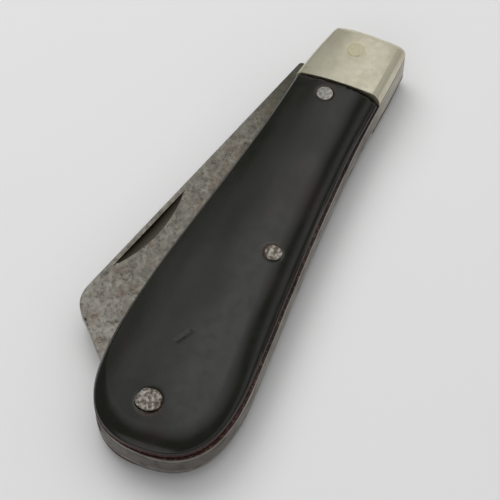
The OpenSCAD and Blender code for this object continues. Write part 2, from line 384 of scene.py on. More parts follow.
def horn_wall(point):
    """Height of the upright wall under a horn cover's edge: taller round the butt."""
    return HORN_WALL + BUTT_WALL * (1 - ease(point[0], 8, 30))


def dome(is_horn):
    """The whole domed cover as a bmesh, its inner face at z = 0."""
    outline = handle_outline(0.45)
    out = normals(outline)
    if is_horn:
        outline = outline - out * np.array([[shrinkage(p)] for p in outline])
    cores = np.array([core(p) for p in outline])
    reach = np.array([[edge_reach(p, is_horn)] for p in outline])
    wall = np.array([horn_wall(p) if is_horn else BOLSTER_WALL for p in outline])
    power = 2 / EDGE_POWER
    across = reach * (1 - math.cos(EDGE_TURN) ** power)
    crown_widths = np.hypot(*(outline - out * across - cores).T)
    top = np.array([shoulder(p, width) for p, width in zip(outline, crown_widths)])
    undercut = SEAM_DEPTH if is_horn else BOLSTER_UNDERCUT
    profile = [(1.0, undercut * inset, wall * up) for inset, up in ((1, 0), (0.7, 0.3), (0.2, 0.7))]
    for angle in np.linspace(0, EDGE_TURN, EDGE_ROWS):
        rise = (math.sin(angle) / math.sin(EDGE_TURN)) ** power
        inset = reach * (1 - math.cos(angle) ** power)
        profile.append((1.0, inset, wall + (top - wall) * rise))
    for angle in np.linspace(0, math.pi / 2, CROWN_ROWS)[1:-1]:
        ratio = math.cos(angle)
        profile.append((ratio, across, top + (COVER_THICK - top) * (1 - ratio ** 2)))
    bm = bmesh.new()
    rows = []
    for ratio, inset, heights in profile:
        ring = cores + (outline - out * inset - cores) * ratio
        rows.append([bm.verts.new((x, y, z)) for (x, y), z in zip(ring, heights)])
    for low, high in zip(rows, rows[1:]):
        for a, b, c, d in zip(low, low[1:] + low[:1], high[1:] + high[:1], high):
            bm.faces.new((a, b, c, d))
    bm.faces.new(rows[0][::-1])
    bmesh.ops.triangulate(bm, faces=[bm.faces.new(rows[-1])])
    return bm


def refine(bm, centre, radius, times):
    """Splits the faces of the outer side near a plan point, for fine shapes there."""
    for _ in range(times):
        near = [f for f in bm.faces if len(f.verts) < 12 and f.calc_center_median().z > OUTER_Z
                and (f.calc_center_median().xy - Vector(centre)).length < radius]
        edges = list({e for f in near for e in f.edges})
        bmesh.ops.subdivide_edges(bm, edges=edges, cuts=1, use_grid_fill=True)


def sink_round_pin(bm, centre, radius, depth):
    """A dished ring round a pin's head, and the seat under the head."""
    for v in bm.verts:
        gap = (v.co.xy - Vector(centre)).length - radius
        if v.co.z > OUTER_Z and gap < 1.5:
            ring = depth * math.exp(-(max(gap, 0) / RING_WIDTH) ** 2)
            v.co.z -= SEAT_DEPTH if gap < -SEAT_MARGIN else ring


def scratch(bm):
    """The short scratch that is pressed into the front cover."""
    refine(bm, SCRATCH_MIDDLE, 2.2, 2)
    a, b = (Vector(end) for end in SCRATCH)
    for v in bm.verts:
        t = min(max((v.co.xy - a).dot(b - a) / (b - a).length_squared, 0), 1)
        away = (v.co.xy - a.lerp(b, t)).length
        if v.co.z > OUTER_Z and away < 3 * SCRATCH_WIDTH:
            pressed = 0.6 + 0.4 * noise.noise((t * 6, 3, 1))
            v.co.z -= SCRATCH_DEPTH * math.exp(-(away / SCRATCH_WIDTH) ** 2) * pressed


def uneven(bm, amount, seed):
    """Slow hand-finished waves over the outer side."""
    per_mm = 0.11
    for v in bm.verts:
        if v.co.z > 0.9:
            wave = noise.noise((v.co.x * per_mm, v.co.y * per_mm * 1.6, seed))
            ripple = noise.noise((v.co.x * per_mm * 0.3, v.co.y * per_mm * 2.2, seed + 7))
            v.co += v.normal * (amount * (wave + 0.8 * ripple - 0.8))


def cut_end(bm, joint_x, work):
    """Cuts the dome off across the handle and rounds the new edge. Side -1 keeps the butt's side."""
    x = joint_x + work.gap
    radius = work.end_radius

    def slice_at(at, **clear):
        whole = bm.verts[:] + bm.edges[:] + bm.faces[:]
        bmesh.ops.bisect_plane(
            bm, geom=whole, dist=1e-5, plane_co=(at, 0, 0), plane_no=(-work.side, 0, 0), **clear)

    slice_at(x, clear_outer=True)
    for share in ROUND_STEPS:
        slice_at(x + work.side * radius * 1.3 * share)
    bm.normal_update()
    for v in bm.verts:
        away = abs(v.co.x - x)
        if away < radius * 1.6 and v.co.z > 0.01:
            here = radius * (1 + work.ragged * noise.noise((v.co.y * 1.7, v.co.z * 1.7, work.seed)))
            v.co -= v.normal * float(rounding(away, max(here, 0.03)))
    bmesh.ops.holes_fill(bm, edges=[e for e in bm.edges if e.is_boundary])


def cover(name, is_front, is_horn, joint_x, pins):
    """A horn cover or a bolster. The back ones are the front ones mirrored."""
    work = HORN_WORK if is_horn else BOLSTER_WORK
    bm = dome(is_horn)
    bm.normal_update()
    uneven(bm, work.waves, work.seed)
    for at, radius in pins:
        refine(bm, at, radius + 1.0, 2)
        sink_round_pin(bm, at, radius, work.ring_depth)
    if is_horn and is_front:
        scratch(bm)
    cut_end(bm, joint_x, work)
    for v in bm.verts:
        v.co.z = v.co.z + COVER_FACE if is_front else COVER_THICK - v.co.z
    points = [tuple(v.co) for v in bm.verts]
    bm.verts.index_update()
    faces = [tuple(v.index for v in f.verts) for f in bm.faces]
    bm.free()
    return to_mesh(name, points, faces, 50)


# ---- pins

PIN_SIDES = 56
PIN_RINGS = (0.1, 0.22, 0.34, 0.46, 0.58, 0.7, 0.8, 0.88, 0.94)   # on an end face, in shares of its radius
HEAD_FALL = 0.10          # how far a peened end falls from its middle to its rim
FLUSH_FALL = 0.01         # and a ground one
HEAD_THICK = 0.4          # straight part of a head


def pin_end(shank_r, head_r):
    """(radius, depth under the end face), from the middle outwards and down to the shank."""
    radius = head_r or shank_r
    fall = HEAD_FALL if head_r else FLUSH_FALL
    face = [(radius * share, fall * share ** 3) for share in PIN_RINGS]
    side = [(radius * 0.985, fall * 1.4), (radius, fall * 2.2), (radius, HEAD_THICK)]
    return face + side + [(shank_r, 0.95 if head_r else 0.6)]


def pin(name, at, shank_r, heads, z_low, z_high, lumps, seed):
    """A pin from z_low to z_high; heads gives the head radius at its low and high end, or 0.

    lumps is about how deep the hammer marks on its ends are.
    """
    rows = [(r, z_low + depth) for r, depth in pin_end(shank_r, heads[0])]
    rows += [(r, z_high - depth) for r, depth in reversed(pin_end(shank_r, heads[1]))]
    middle = (z_low + z_high) / 2
    points, faces = [], []
    for r, z in rows:
        reach = max(heads[0] if z < middle else heads[1], shank_r)
        for i in range(PIN_SIDES):
            a = 2 * math.pi * i / PIN_SIDES
            c, s = math.cos(a), math.sin(a)
            ragged = 1 + 0.6 * lumps * noise.noise((c * 1.6, s * 1.6, seed))
            x, y = r * ragged * c, r * ragged * s
            on_face = max(0, 1 - min(z - z_low, z_high - z) / 0.35) * min(1, r / reach + 0.4)
            hammer = noise.cell((x * 0.9 + seed, y * 0.9, 4.0)) * 0.4 + noise.noise((x * 1.5, y * 1.5, seed))
            fall = lumps * on_face * max(0.55 + 0.5 * hammer, 0)
            points.append((at[0] + x, at[1] + y, z - fall if z > middle else z + fall))
    for start in range(0, len(points) - PIN_SIDES, PIN_SIDES):
        for i in range(PIN_SIDES):
            a, b = start + i, start + (i + 1) % PIN_SIDES
            faces.append((a, b, b + PIN_SIDES, a + PIN_SIDES))
    faces.append(tuple(reversed(range(PIN_SIDES))))
    faces.append(tuple(range(len(points) - PIN_SIDES, len(points))))
    return to_mesh(name, points, faces, 60)


def rivets(name, z_low, z_high):
    """Both blind rivets of a bolster, as one piece."""
    points, faces = [], []
    for y in RIVET_YS:
        rivet = pin(name, (RIVET_X, y), RIVET_R, (0, 0), z_low, z_high, 0.02, y)
        start = len(points)
        points += [tuple(v.co / MM) for v in rivet.data.vertices]
        faces += [tuple(i + start for i in f.vertices) for f in rivet.data.polygons]
        bpy.data.objects.remove(rivet)
    return to_mesh(name, points, faces, 60)


# ---- blade

BLADE_HALF = (layer("blade")[1] - layer("blade")[0]) / 2
SPINE_Y = -8.2
EDGE_Y = 5.8
BLADE_REACH = 78.4
RICASSO = 13              # from the pivot to the start of the grind
CLIP_TOP = (BLADE_REACH - 6.1, SPINE_Y + 3.75)   # where the sheepfoot's slope starts
CLIP_FOOT = (BLADE_REACH - 2.9, EDGE_Y - 5.0)    # and where it goes under the horn
EDGE_HALF = 0.12          # half the thickness of the cutting edge
FLAT_OFFSET = SPRING_FACE - 0.05   # from the pivot to the flats of the tang
SHOULDER_X = 5.65         # from the pivot to the shoulder
KICK = 10                 # from the pivot to the kick
CHOIL = 15.2              # from the pivot to the start of the cutting edge
SPINE_POINTS = 120
CLOSED_NORMAL = math.radians(270 - CLOSED_ANGLE)
NICK_MIDDLE = 51.5
NICK_WALL_Y = SPINE_Y + 0.9   # the nick's steep wall
NICK_HALF_LENGTH = 10
NICK_WIDTH = 2.0
NICK_DEPTH = 0.6
NICK_ROWS = 14            # rows of points across the nick's floor


def on_closed_flat(x, gap=0.0):
    """Point on the tang's flat that rests on the spring when the knife is shut."""
    return x, (FLAT_OFFSET - gap - x * math.cos(CLOSED_NORMAL)) / math.sin(CLOSED_NORMAL)


def blade_outline():
    """The blade's outline, anticlockwise from its shoulder."""
    spine_start = SHOULDER_X + 0.8
    spine_end = (BLADE_REACH - 11.6, SPINE_Y)
    point = (BLADE_REACH, EDGE_Y)
    loop = [(SHOULDER_X, -FLAT_OFFSET)]
    loop += cubic((SHOULDER_X, SPINE_Y + 0.8), (SHOULDER_X, SPINE_Y + 0.3),
                  (SHOULDER_X + 0.3, SPINE_Y), (spine_start, SPINE_Y), 8)
    loop += [(x, SPINE_Y) for x in np.linspace(spine_start, spine_end[0], SPINE_POINTS, endpoint=False)]
    loop += cubic(spine_end, (spine_end[0] + 3.2, SPINE_Y),
                  (CLIP_TOP[0] - 0.9, CLIP_TOP[1] - 2.1), CLIP_TOP, 16)
    loop += cubic(CLIP_TOP, (CLIP_TOP[0] + 1.7, CLIP_TOP[1] + 2.9),
                  (point[0] - 1.6, point[1] - 2.6), point, 24)
    loop += [(x, EDGE_Y) for x in np.linspace(point[0], CHOIL, SPINE_POINTS, endpoint=False)]
    loop += cubic((CHOIL, EDGE_Y), (14.4, EDGE_Y - 1.7), (13.2, EDGE_Y - 1.6), (12.4, EDGE_Y - 0.2), 12)
    # the kick, then the closed, half-way and open flats with cams between them
    loop += cubic((12.4, EDGE_Y - 0.2), on_closed_flat(KICK + 1.6), on_closed_flat(KICK + 0.8),
                  on_closed_flat(KICK), 8)
    loop += cubic(on_closed_flat(KICK), on_closed_flat(KICK - 1), on_closed_flat(KICK - 1.6, 0.4),
                  on_closed_flat(KICK - 2.6, 0.9), 8)
    loop += [on_closed_flat(KICK - 4.6, 0.9), on_closed_flat(3)]
    loop += cubic(on_closed_flat(-2.2), on_closed_flat(-3.4), (-FLAT_OFFSET, 2.9), (-FLAT_OFFSET, 1.6), 12)
    loop += cubic((-FLAT_OFFSET, -1.9), (-FLAT_OFFSET, -3.3), (-3.3, -FLAT_OFFSET), (-1.9, -FLAT_OFFSET), 12)
    return loop + [(-1.9, -FLAT_OFFSET)]


def nick_floor(points):
    """Depth of the nail nick: steep at the spine side, sloping away towards the edge."""
    x, y = points[:, 0], points[:, 1]
    lengthwise = 1 - ((x - NICK_MIDDLE) / NICK_HALF_LENGTH) ** 2
    floor = NICK_DEPTH * lengthwise - (y - NICK_WALL_Y) * NICK_DEPTH / NICK_WIDTH
    return np.where(y > NICK_WALL_Y - 0.02, np.maximum(floor, 0), 0)


def blade_half(points):
    """Half the blade's thickness: full at the tang, then ground flat from spine to edge."""
    x, y = points[:, 0], points[:, 1]
    ground = BLADE_HALF - (BLADE_HALF - EDGE_HALF) * (y - SPINE_Y) / (EDGE_Y - SPINE_Y)
    bevel = np.interp(y, (EDGE_Y - 0.7, EDGE_Y), (0, EDGE_HALF - 0.03))
    plunge = np.clip((x - RICASSO) / 1.2, 0, 1)
    plunge = plunge * plunge * (3 - 2 * plunge)
    worn = np.array([noise.noise((a * 0.35, b * 0.5, 7.0)) for a, b in points]) * 0.02
    return BLADE_HALF + (ground - bevel - BLADE_HALF) * plunge - 0.02 + np.minimum(worn, 0.02)


def blade():
    """The blade, drawn open in its own plan and then shut."""
    nick_x = np.arange(NICK_MIDDLE - NICK_HALF_LENGTH, NICK_MIDDLE + NICK_HALF_LENGTH + 0.01, 0.2)
    lines = [[(x, NICK_WALL_Y + gap) for x in nick_x] for gap in (-0.05, 0.03)]
    for share in np.arange(1, NICK_ROWS) / NICK_ROWS:
        half = NICK_HALF_LENGTH * math.sqrt(1 - share)
        reach = np.arange(NICK_MIDDLE - half, NICK_MIDDLE + half, 0.25)
        lines.append([(x, NICK_WALL_Y + NICK_WIDTH * share) for x in reach])
    rim_y = NICK_WALL_Y + NICK_WIDTH * (1 - ((nick_x - NICK_MIDDLE) / NICK_HALF_LENGTH) ** 2)
    lines.append(list(zip(nick_x, rim_y))[1:-1])
    pivot_hole = circle((0, 0), PIVOT_R + 0.03, 48)
    piece = slab("blade_ground", blade_outline(), [pivot_hole],
                 lambda p: blade_half(p) - nick_floor(p), lambda p: -blade_half(p),
                 radius=0.14, spacing=0.55, lines=lines)
    shut = Matrix.Translation(hinge["pos_m"]) @ Matrix.Rotation(math.radians(CLOSED_ANGLE), 4, "Z")
    piece.data.transform(shut)
    piece.matrix_world = Matrix()     # its points are in the part's frame
    return piece


# ---- materials

class Nodes:
    """Makes the nodes of a material or of the world."""

    def __init__(self, tree):
        self.tree = tree

    def put(self, socket, value):
        """Links a socket, or sets it to a plain value."""
        if isinstance(value, bpy.types.NodeSocket):
            self.tree.links.new(value, socket)
        else:
            socket.default_value = value

    def vector(self, operation, a, b):
        """An operation on two vectors; a distance or a dot product is a number."""
        node = self.tree.nodes.new("ShaderNodeVectorMath")
        node.operation = operation
        self.put(node.inputs[0], a)
        self.put(node.inputs[1], b)
        gives_number = operation in ("DISTANCE", "DOT_PRODUCT")
        return node.outputs["Value" if gives_number else "Vector"]

    def math(self, operation, a, b=0.0):
        """An operation on one or two numbers."""
        node = self.tree.nodes.new("ShaderNodeMath")
        node.operation = operation
        self.put(node.inputs[0], a)
        self.put(node.inputs[1], b)
        return node.outputs["Value"]

    def plus(self, total, *others):
        """The sum of two or more numbers."""
        for other in others:
            total = self.math("ADD", total, other)
        return total

    def times(self, product, *others):
        """The product of two or more numbers."""
        for other in others:
            product = self.math("MULTIPLY", product, other)
        return product

    def spread(self, value, low, high, to_low=0.0, to_high=1.0):
        """The value's range low to high, stretched smoothly to to_low to to_high and held there."""
        node = self.tree.nodes.new("ShaderNodeMapRange")
        node.interpolation_type = "SMOOTHSTEP"
        for socket, number in zip(("Value", "From Min", "From Max", "To Min", "To Max"),
                                  (value, low, high, to_low, to_high)):
            self.put(node.inputs[socket], number)
        return node.outputs["Result"]

    def fade(self, value, low, high, start=1.0):
        """The start value up to low, then falling smoothly to 0 at high."""
        return self.spread(value, low, high, start, 0.0)


class Finish(Nodes):
    """A node material. Lengths in its patterns are in millimetres, in the handle's or the blade's plan."""

    def __init__(self, name, metallic=0.0, on_blade=False):
        self.material = bpy.data.materials.new(name)
        self.material.use_nodes = True
        super().__init__(self.material.node_tree)
        self.shader = self.tree.nodes["Principled BSDF"]
        self.shader.inputs["Metallic"].default_value = metallic
        place = self.tree.nodes.new("ShaderNodeTexCoord").outputs["Object"]
        if on_blade:
            turn = self.tree.nodes.new("ShaderNodeVectorRotate")
            turn.rotation_type = "Z_AXIS"
            turn.inputs["Angle"].default_value = math.radians(-CLOSED_ANGLE)
            self.put(turn.inputs["Vector"], self.vector("SUBTRACT", place, hinge["pos_m"]))
            place = turn.outputs["Vector"]
        self.mm = self.vector("MULTIPLY", place, (1 / MM, 1 / MM, 1 / MM))

    def axis(self, name):
        """The X, Y or Z of the shaded point."""
        node = self.tree.nodes.new("ShaderNodeSeparateXYZ")
        self.put(node.inputs[0], self.mm)
        return node.outputs[name]

    def above_liner(self):
        """How far outside the liners' outer faces the shaded point is, on either side."""
        from_middle = self.math("ABSOLUTE", self.math("SUBTRACT", self.axis("Z"), MID_Z))
        return self.math("SUBTRACT", from_middle, COVER_FACE - MID_Z)

    def grain(self, per_mm, detail=4.0, stretch=(1, 1, 1), shift=0.0, rough=0.55, warp=0.0):
        """Noise with per_mm features in a millimetre, drawn out along an axis by a small stretch."""
        moved = self.vector("MULTIPLY", self.mm, stretch)
        moved = self.vector("ADD", moved, (shift, shift * 1.7, shift * 0.3))
        node = self.tree.nodes.new("ShaderNodeTexNoise")
        for socket, value in (("Vector", moved), ("Scale", per_mm), ("Detail", detail),
                              ("Roughness", rough), ("Distortion", warp)):
            self.put(node.inputs[socket], value)
        return node.outputs["Fac"]

    def pits(self, per_mm, shift=0.0):
        """Distance to the nearest of scattered points, near 0 at a pit's middle."""
        node = self.tree.nodes.new("ShaderNodeTexVoronoi")
        self.put(node.inputs["Vector"], self.vector("ADD", self.mm, (shift, shift, shift)))
        self.put(node.inputs["Scale"], per_mm)
        return node.outputs["Distance"]

    def seam_crumbs(self, threshold):
        """Crumbs of rust between the horn and the liner, fewer towards the bolster."""
        crumbs = self.spread(self.grain(1.9, 4, shift=5), threshold, 0.64)
        return self.times(crumbs, self.spread(self.axis("X"), 45.0, 76.0, 1.0, 0.2))

    def mix(self, share, a, b):
        """Colour a where the share is 0, and b where it is 1."""
        node = self.tree.nodes.new("ShaderNodeMix")
        node.data_type = "RGBA"
        self.put(node.inputs["Factor"], share)
        colours = [s for s in node.inputs if s.name in "AB" and s.type == "RGBA"]
        for socket, colour in zip(colours, (a, b)):
            self.put(socket, colour if isinstance(colour, bpy.types.NodeSocket) else (*colour, 1.0))
        return next(s for s in node.outputs if s.type == "RGBA")

    def near(self, at, inner, outer):
        """1 within inner of a plan point, falling to 0 at outer."""
        flat_place = self.vector("MULTIPLY", self.mm, (1, 1, 0))
        return self.fade(self.vector("DISTANCE", flat_place, (*at, 0)), inner, outer)

    def finish(self, colour, roughness, *bumps):
        """Links the colour, the roughness and a chain of (height, depth in mm, strength) bumps."""
        self.put(self.shader.inputs["Base Color"], colour)
        self.put(self.shader.inputs["Roughness"], roughness)
        below = None
        for height, depth, strength in bumps:
            node = self.tree.nodes.new("ShaderNodeBump")
            self.put(node.inputs["Height"], height)
            self.put(node.inputs["Distance"], depth * MM)
            self.put(node.inputs["Strength"], strength)
            if below is not None:
                self.put(node.inputs["Normal"], below)
            below = node.outputs["Normal"]
        self.put(self.shader.inputs["Normal"], below)
        return self.material


# Each pin of a cover, its head's radius, and how far to one side its rust stain lies.
COVER_PINS = (
    (BUTT_PIN, BUTT_HEAD_R, (-0.4, -0.2)),
    (SPRING_PIN, SMALL_HEAD_R, (0.15, 0.4)),
    (COVER_PIN, SMALL_HEAD_R, (0.1, -0.3)),
)


def horn_finish():
    """Dark polished horn: olive black, brown patches, fine scratches, rust where it meets steel."""
    olive_black = (0.0052, 0.0063, 0.0022)
    brown_black = (0.0100, 0.0072, 0.0045)
    streak_brown = (0.0085, 0.008, 0.006)
    stain_brown = (0.040, 0.017, 0.011)
    gap_black = (0.008, 0.006, 0.005)
    wall_red = (0.032, 0.0105, 0.0105)
    seam_black = (0.016, 0.0095, 0.0085)
    seam_red = (0.050, 0.018, 0.017)
    rust = (0.18, 0.10, 0.07)

    m = Finish("dark_horn")
    patches = m.spread(m.grain(0.13, 3, (0.6, 1, 1), 4), 0.5, 0.68)
    colour = m.mix(patches, olive_black, brown_black)
    streaks = m.grain(0.9, 5, (0.12, 1, 1), 2)
    colour = m.mix(m.spread(streaks, 0.45, 0.75, 0.0, 0.35), colour, streak_brown)
    specks = m.spread(m.grain(2.2, 3, shift=9), 0.36, 0.56)
    for at, radius, side in COVER_PINS:
        stain = m.near((at[0] + side[0], at[1] + side[1]), radius + 0.05, radius + 0.6)
        colour = m.mix(m.times(stain, specks, 0.8), colour, stain_brown)
        gap = m.near(at, radius + 0.02, radius + 0.16)
        colour = m.mix(m.times(gap, 0.75), colour, gap_black)

    above_liner = m.above_liner()
    at_butt = m.fade(m.axis("X"), 10.0, 28.0)
    wall = m.fade(above_liner, 0.95, 1.25)
    colour = m.mix(m.times(wall, m.plus(0.3, m.times(at_butt, 0.7))), colour, wall_red)
    seam = m.fade(above_liner, SEAM_HEIGHT * 0.7, SEAM_HEIGHT * 1.7)
    seam_dirt = m.mix(at_butt, seam_black, seam_red)
    colour = m.mix(seam, colour, m.mix(m.seam_crumbs(0.54), seam_dirt, rust))

    polish = m.spread(m.grain(0.5, 5, shift=8), 0.35, 0.7, 0.15, 0.25)
    matt = m.math("MAXIMUM", seam, m.times(wall, at_butt))
    scratches = m.grain(5, 3, (0.05, 1, 0.4), 1, 0.6, 0.3)
    cross_scratches = m.grain(4, 2, (1, 0.07, 0.4), 6)
    return m.finish(colour, m.plus(polish, m.times(matt, 0.45)),
                    (scratches, 0.004, 0.3), (cross_scratches, 0.003, 0.2), (m.grain(14, 2), 0.0015, 0.3))


def bolster_finish():
    """Worn nickel silver: warm pale metal with stains, soft scratches and a few dings, and painted shade on
    its side walls and underside.
    """
    pale_silver = (0.86, 0.82, 0.65)
    warm_silver = (0.78, 0.735, 0.565)
    stain_tan = (0.56, 0.52, 0.39)
    pin_brass = (0.82, 0.77, 0.50)
    grime_brown = (0.05, 0.035, 0.03)
    painted_shade_tan = (0.56, 0.51, 0.42)
    underside_shade_brown = (0.035, 0.020, 0.020)

    m = Finish("nickel_silver_worn", 1.0)
    colour = m.mix(m.spread(m.grain(0.28, 5, shift=3), 0.38, 0.68), pale_silver, warm_silver)
    fine = m.grain(3.0, 5, (0.5, 1, 1), 7)
    colour = m.mix(m.spread(fine, 0.56, 0.75, 0.0, 0.5), colour, stain_tan)
    pin_spot = m.near(PIVOT, PIVOT_R - 0.1, PIVOT_R + 0.9)
    colour = m.mix(m.times(pin_spot, 0.5), colour, pin_brass)
    above_liner = m.above_liner()
    grime = m.fade(above_liner, 0.05, 0.3)
    colour = m.mix(m.times(grime, 0.8), colour, grime_brown)
    height = m.axis("Z")
    across = m.axis("Y")
    # painted shade: the bolster's side walls, and a little of its back edge, are mixed towards a darker tan
    side = m.math("MAXIMUM", m.fade(above_liner, 0.9, 2.6, 0.6),
                  m.fade(across, BACK_Y - 0.5, BACK_Y + 3.5, 0.2))
    colour = m.mix(side, colour, painted_shade_tan)
    # painted shade: the back bolster's rounded edge and wall, down by the floor, go dark brown, most on the
    # spine side
    under = m.times(m.spread(height, 0.1, 0.7), m.fade(height, 3.3, 5.0))
    under = m.times(under, m.spread(across, -5.5, -1.0, 0.9, 0.3))
    colour = m.mix(under, colour, underside_shade_brown)

    rough = m.spread(m.grain(0.8, 5), 0.3, 0.7, 0.40, 0.50)
    scratches = m.grain(4, 4, (0.06, 1, 0.6), 2)
    dings = m.spread(m.pits(0.9, 3), 0.0, 0.16)
    return m.finish(colour, rough, (scratches, 0.012, 0.3), (dings, 0.03, 0.25), (m.grain(9, 3), 0.006, 0.35))


def nick_share(m):
    """1 inside the nail nick and 0 outside it, and the distance from the nick's wall."""
    from_wall = m.math("SUBTRACT", m.axis("Y"), NICK_WALL_Y)
    along = m.math("DIVIDE", m.math("SUBTRACT", m.axis("X"), NICK_MIDDLE), NICK_HALF_LENGTH)
    width = m.times(m.math("SUBTRACT", 1.0, m.times(along, along)), NICK_WIDTH)
    from_rim = m.math("SUBTRACT", from_wall, width)
    return m.times(m.spread(from_wall, -0.05, 0.0), m.fade(from_rim, -0.12, 0.0)), from_wall


def blade_finish():
    """Old carbon steel: grey patina in blotches, fine dark pits, brown stain, a painted highlight along the
    spine and painted shade in the nail nick.
    """
    patina = (0.245, 0.231, 0.198)
    pale_patina = (0.36, 0.338, 0.292)
    tip_grey = (0.50, 0.475, 0.425)
    mottle_grey = (0.185, 0.17, 0.142)
    stain_brown = (0.24, 0.18, 0.135)
    pit_black = (0.07, 0.06, 0.05)
    spot_black = (0.085, 0.08, 0.068)
    spine_highlight_grey = (0.42, 0.39, 0.34)
    tang_olive = (0.085, 0.085, 0.056)
    nick_shade_and_patina = (0.055, 0.040, 0.028)
    nick_grey = (0.155, 0.148, 0.118)
    bright = (0.50, 0.47, 0.41)
    corner_black = (0.03, 0.026, 0.02)

    m = Finish("patina_steel", 0.9, on_blade=True)
    blotches = m.grain(0.55, 6, (0.7, 1, 1), 3, 0.65)
    mottle = m.grain(1.1, 6, shift=12, rough=0.7)
    colour = m.mix(m.spread(blotches, 0.36, 0.64), patina, pale_patina)
    colour = m.mix(m.spread(m.axis("X"), 58.0, 74.0, 0.0, 0.5), colour, tip_grey)
    colour = m.mix(m.spread(mottle, 0.46, 0.76, 0.0, 0.85), colour, mottle_grey)
    colour = m.mix(m.spread(m.grain(0.35, 4, shift=20), 0.50, 0.68, 0.0, 0.5), colour, stain_brown)
    pit_field = m.spread(m.grain(0.4, 3, shift=30), 0.4, 0.62)
    small_pits = m.times(m.fade(m.pits(1.7, 2), 0.10, 0.30), pit_field)
    colour = m.mix(m.times(small_pits, 0.75), colour, pit_black)
    spot_field = m.spread(m.grain(0.16, 2, shift=44), 0.46, 0.6)
    spots = m.times(m.fade(m.pits(0.5, 5), 0.12, 0.34), spot_field, m.spread(mottle, 0.4, 0.55))
    colour = m.mix(m.times(spots, 0.8), colour, spot_black)
    # painted highlight: a lighter band along the spine's edge, broken up by noise
    spine = m.fade(m.axis("Y"), SPINE_Y + 0.12, SPINE_Y + 0.55)
    spine = m.times(spine, m.spread(m.grain(0.7, 3, (0.4, 1, 1), 6), 0.3, 0.6))
    colour = m.mix(m.times(spine, 0.8), colour, spine_highlight_grey)
    colour = m.mix(m.fade(m.axis("X"), 9.0, 32.0, 0.8), colour, tang_olive)
    # painted shade with some patina: the nail nick is dark by its steep wall and turns a lighter grey towards
    # its rim
    in_nick, from_wall = nick_share(m)
    colour = m.mix(in_nick, colour, m.mix(m.spread(from_wall, 0.1, NICK_WIDTH), nick_shade_and_patina, nick_grey))
    # painted highlight: a small bright glint on the rim near the nick's far end
    nick_end = (NICK_MIDDLE + NICK_HALF_LENGTH - 0.9, NICK_WALL_Y + 0.35)
    colour = m.mix(m.near(nick_end, 0.12, 0.35), colour, bright)
    upper_face = m.spread(m.axis("Z"), 0.5, 1.0)
    for at, reach in ((CLIP_TOP, 0.7), (CLIP_FOOT, 0.8)):
        corner = m.times(m.near(at, 0.1, reach), m.spread(mottle, 0.35, 0.5), upper_face)
        colour = m.mix(corner, colour, corner_black)

    rough = m.spread(mottle, 0.35, 0.7, 0.42, 0.6)
    ground_lines = m.grain(5, 3, (1, 0.05, 1), 2)
    return m.finish(colour, rough, (m.math("SUBTRACT", 1.0, small_pits), 0.06, 0.5), (mottle, 0.05, 0.22),
                    (ground_lines, 0.01, 0.3), (m.grain(7, 4), 0.015, 0.4))


def layer_finish(name, light, dark, seed, roughness):
    """Steel of the liners and the spring: drawn grain along the handle, stains, dirt by the covers."""
    stain_brown = (0.10, 0.065, 0.04)
    worn_silver = (0.52, 0.49, 0.42)
    dirt_black = (0.012, 0.008, 0.007)
    butt_red = (0.045, 0.017, 0.015)
    rust = (0.16, 0.085, 0.06)

    m = Finish(name, 0.8)
    drawn = m.grain(3.5, 4, (0.05, 0.3, 1), seed)
    colour = m.mix(m.spread(drawn, 0.35, 0.65), dark, light)
    stains = m.grain(0.5, 5, (0.5, 1, 1), seed + 5)
    colour = m.mix(m.spread(stains, 0.52, 0.68, 0.0, 0.6), colour, stain_brown)
    along = m.axis("X")
    colour = m.mix(m.fade(along, 6.0, 24.0, 0.55), colour, tuple(c * 0.45 for c in dark))
    colour = m.mix(m.spread(along, 76.0, 83.0, 0.0, 0.8), colour, worn_silver)
    by_cover = m.spread(m.above_liner(), -0.10, -0.02)
    dirt = m.mix(m.fade(along, 4.0, 26.0), dirt_black, butt_red)
    dirt = m.mix(m.seam_crumbs(0.52), dirt, rust)
    colour = m.mix(m.times(by_cover, 0.95), colour, dirt)
    rough = m.spread(stains, 0.35, 0.7, roughness - 0.08, roughness + 0.12)
    return m.finish(colour, rough, (drawn, 0.03, 0.5), (m.grain(6, 3, (0.3, 1, 1)), 0.015, 0.3))


def pin_finish(name, hollows, high_spots):
    """Hammered pin steel: light grey high spots and brown dirt in the hollows."""
    m = Finish(name, 0.9)
    crumbs = m.grain(1.5, 5, shift=3, rough=0.6)
    colour = m.mix(m.spread(crumbs, 0.40, 0.62), hollows, high_spots)
    fine = m.grain(5, 3)
    colour = m.mix(m.spread(fine, 0.56, 0.74, 0.0, 0.4), colour, hollows)
    return m.finish(colour, m.spread(crumbs, 0.3, 0.7, 0.55, 0.34), (crumbs, 0.2, 0.7), (fine, 0.03, 0.4))


def pivot_finish():
    """The pivot pin: pale brass, ground flush with the bolster."""
    m = Finish("pivot_brass", 1.0)
    fine = m.grain(5, 4, (0.4, 1, 1), 2)
    colour = m.mix(m.spread(fine, 0.4, 0.7), (0.80, 0.75, 0.54), (0.72, 0.67, 0.47))
    return m.finish(colour, m.spread(fine, 0.3, 0.7, 0.40, 0.50), (fine, 0.012, 0.3))


def floor_finish():
    """Pale paper, very slightly uneven in tone."""
    m = Finish("pale_paper")
    colour = m.mix(m.grain(0.02, 3), (0.79, 0.79, 0.79), (0.81, 0.81, 0.81))
    return m.finish(colour, 0.9, (m.grain(3, 2), 0.01, 0.1))


# ---- the knife

def build_covers():
    """The horn covers and the bolsters of both sides."""
    horn = horn_finish()
    nickel_silver = bolster_finish()
    covered_pins = [(at, head_r) for at, head_r, _ in COVER_PINS]
    for side, joint_x in (("front", JUNCTION_X), ("back", BACK_JUNCTION_X)):
        is_front = side == "front"
        piece = cover("horn_cover_" + side, is_front, True, joint_x, covered_pins)
        install(piece, "scale_" + side, horn)
        piece = cover("bolster_shell_" + side, is_front, False, joint_x, [(PIVOT, PIVOT_R)])
        install(piece, "bolster_" + side, nickel_silver)


